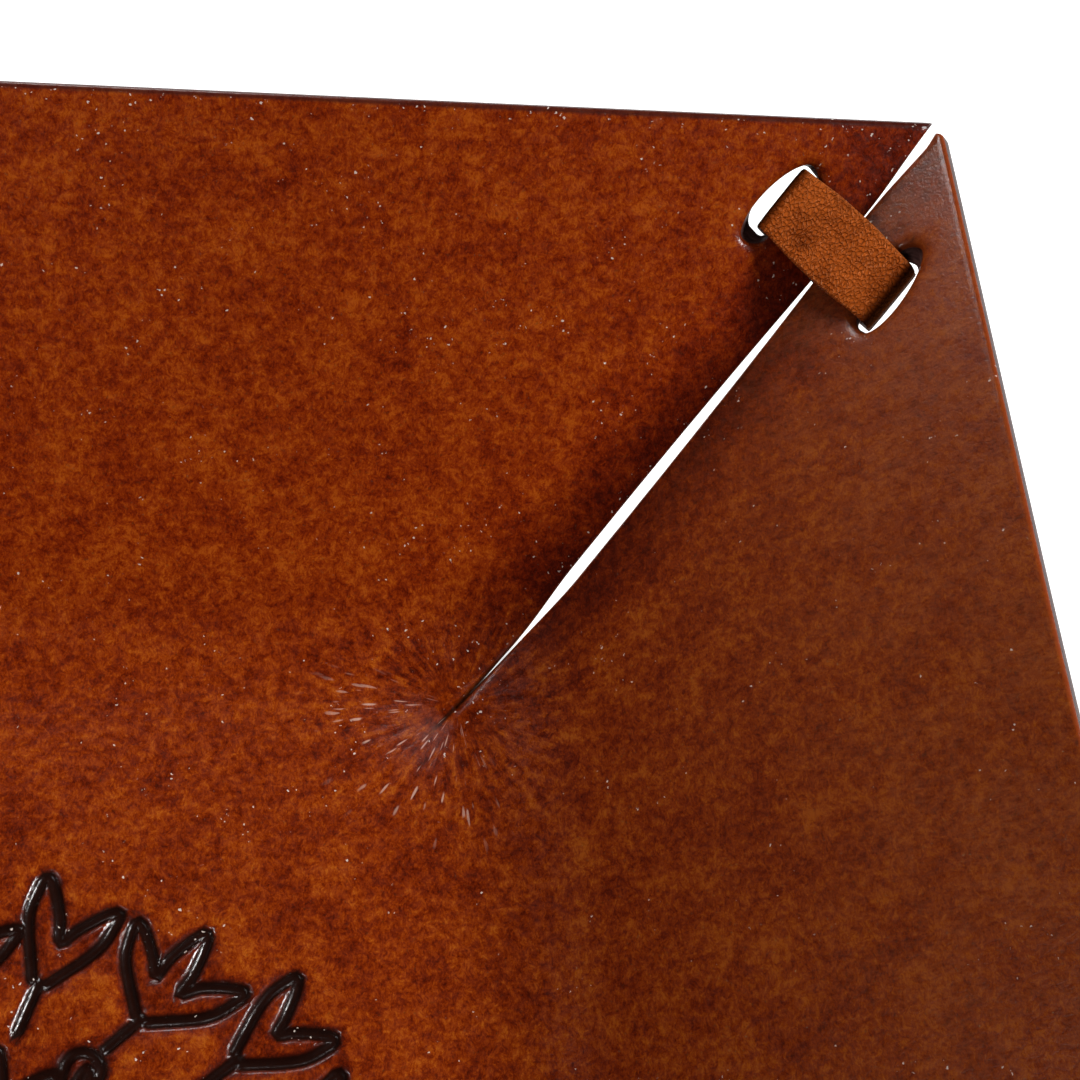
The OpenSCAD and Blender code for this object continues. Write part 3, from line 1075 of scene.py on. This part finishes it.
def strap_grain():
    """The strap's grain side: tan-brown with a fine wrinkled grain, paler along its long edges, with
    painted shade in the grain's valleys and near-black painted shade where it bends down into the slots.
    """
    s = Shader("strap_grain", Specular_Tint=(1.0, 0.42, 0.14, 1.0))
    where = s.stored("strap", "Vector")
    side = s.stored("side")
    run = s.stored("run")
    cloud = s.noise(where, 0.22, 4.0, 0.55)
    wrinkles = s.vector("MULTIPLY", s.warp(where, 1.2, 0.6), (2.3, 1.5, 1.0))
    pebble = s.cells(wrinkles, 1.0)
    valley = s.fade(s.cells(wrinkles, 1.0, "DISTANCE_TO_EDGE"), 0.0, 0.20)
    fine = s.noise(where, 3.5, 4.0, 0.65)
    tone = s.plus(s.times(fine, 0.30), cloud, 0.75)
    # painted shade in the grain's valleys, which also shape its bumps below
    tone = s.plus(tone, valley, -0.08)
    dye = s.ramp(tone, [(0.22, (0.13, 0.018, 0.001)), (0.36, (0.34, 0.056, 0.005)),
                        (0.55, (0.66, 0.130, 0.015))])
    # painted shade, near black, where the strap bends down into its slots at each end of its run
    painted_bend_shade = s.math("ADD", s.between(run, 0.94, 1.02), s.fade(run, -0.02, 0.05))
    dye = s.mix(s.times(painted_bend_shade, 0.95), dye, colour(0.016, 0.005, 0.002))
    # paler along both long edges, except where the strap bends into its slots
    pale_edges = s.times(s.fade(side, 0.05, 0.6), 0.6, s.fade(painted_bend_shade, 0.0, 1.0))
    dye = s.mix(pale_edges, dye, colour(0.50, 0.13, 0.028))
    s.look("Base Color", dye)
    s.look("Roughness", s.between(fine, 0.3, 0.7, 0.28, 0.42))
    s.look("Specular IOR Level", s.between(painted_bend_shade, 0.0, 0.7, 0.5, 0.0))
    shape = s.bump(s.plus(s.times(valley, -0.5), pebble, -0.6), 0.00030)
    s.look("Normal", s.bump(fine, 0.00004, shape))
    return s.material


def strap_flesh():
    """The strap's flesh side and cut edges: raw brown fibres, darkened partly as painted shade for where
    they lie in the slots and under the bends.
    """
    s = Shader("strap_flesh", Roughness=0.85, Specular_IOR_Level=0.2)
    where = s.stored("strap", "Vector")
    fibres = s.noise(s.vector("MULTIPLY", where, (0.9, 2.6, 3.0)), 1.0, 6.0, 0.75, 0.8)
    # partly painted shade: these browns are kept dark for the shaded bends and slots
    dye = s.ramp(fibres, [(0.30, (0.018, 0.006, 0.003)), (0.5, (0.045, 0.017, 0.008)),
                          (0.70, (0.11, 0.048, 0.025))])
    s.look("Base Color", dye)
    s.look("Normal", s.bump(fibres, 0.00018))
    return s.material


# ---------------- studio
def floor():
    """Bright paper just under the tray."""
    bpy.ops.mesh.primitive_plane_add(size=FLOOR_SIZE, location=(0, 0, cad_box[0].z - 0.0001))
    plane = bpy.context.object
    plane.name = "floor"
    s = Shader("floor_paper", Roughness=0.9, Specular_IOR_Level=0.1)
    s.look("Base Color", colour(0.8, 0.8, 0.8))
    s.look("Emission Color", colour(1, 1, 1))
    s.look("Emission Strength", FLOOR_GLOW)
    plane.data.materials.append(s.material)


def softbox(name, direction, distance, size, watts):
    """A white area light, some metres off in a direction and facing the tray's middle."""
    light = bpy.data.lights.new(name, "AREA")
    light.shape = "RECTANGLE"
    light.size = size[0]
    light.size_y = size[1]
    light.energy = watts
    lamp = bpy.data.objects.new(name, light)
    bpy.context.scene.collection.objects.link(lamp)
    back = Vector(direction).normalized()
    lamp.location = back * distance
    lamp.rotation_mode = "QUATERNION"
    lamp.rotation_quaternion = back.to_track_quat("Z", "Y")


def studio():
    """Soft light from the right, a little from the other sides, and hardly any from the room."""
    world = bpy.data.worlds.new("studio")
    bpy.context.scene.world = world
    world.use_nodes = True
    background = world.node_tree.nodes["Background"]
    background.inputs["Color"].default_value = colour(1, 1, 1)
    background.inputs["Strength"].default_value = WORLD_GLOW
    softbox("right", (0.78, -0.12, 0.60), 1.3, (0.29, 0.22), 10.6)
    softbox("front_left", (-0.62, -0.28, 0.72), 0.9, (0.12, 0.09), 1.35)
    softbox("back", (-0.04, 0.82, 0.57), 0.34, (0.10, 0.06), 0.30)
    softbox("haze", (-0.70, 0.57, 0.41), 0.9, (0.80, 0.60), 0.10)
    bpy.context.scene.view_settings.view_transform = "Standard"


def camera():
    """Over the front of the tray, turned to its back right corner and tipped."""
    az, el, roll = (math.radians(a) for a in (-22.857, 63.184, 20.422))
    target = Vector((BASE_HALF + 9.69, BASE_HALF + 16.37, SHEET_T + 15))
    back = Vector((math.sin(az) * math.cos(el), -math.cos(az) * math.cos(el), math.sin(el)))
    right = (-back).cross(Vector((0, 0, 1))).normalized()
    up = right.cross(-back)
    across = right * math.cos(roll) + up * math.sin(roll)
    upright = -right * math.sin(roll) + up * math.cos(roll)
    data = bpy.data.cameras.new("camera")
    data.sensor_width = 36.0
    data.lens = 52.91
    data.clip_start = 0.01
    data.clip_end = 20
    eye = bpy.data.objects.new("camera", data)
    bpy.context.scene.collection.objects.link(eye)
    place = Matrix((across, upright, back)).transposed().to_4x4()
    place.translation = (target + back * 197.98) * MM
    eye.matrix_world = place
    bpy.context.scene.camera = eye


# ---------------- the whole object
camera()
floor()
studio()
leather_sheet([grain_leather(), cut_edge(), flesh_side()])
strap_looks = [strap_grain(), strap_flesh()]
strap_names = ["strap_back_right", "strap_back_left", "strap_front_left", "strap_front_right"]
for quarter_turns, strap_name in enumerate(strap_names):
    strap_mesh(strap_name, quarter_turns, strap_looks)
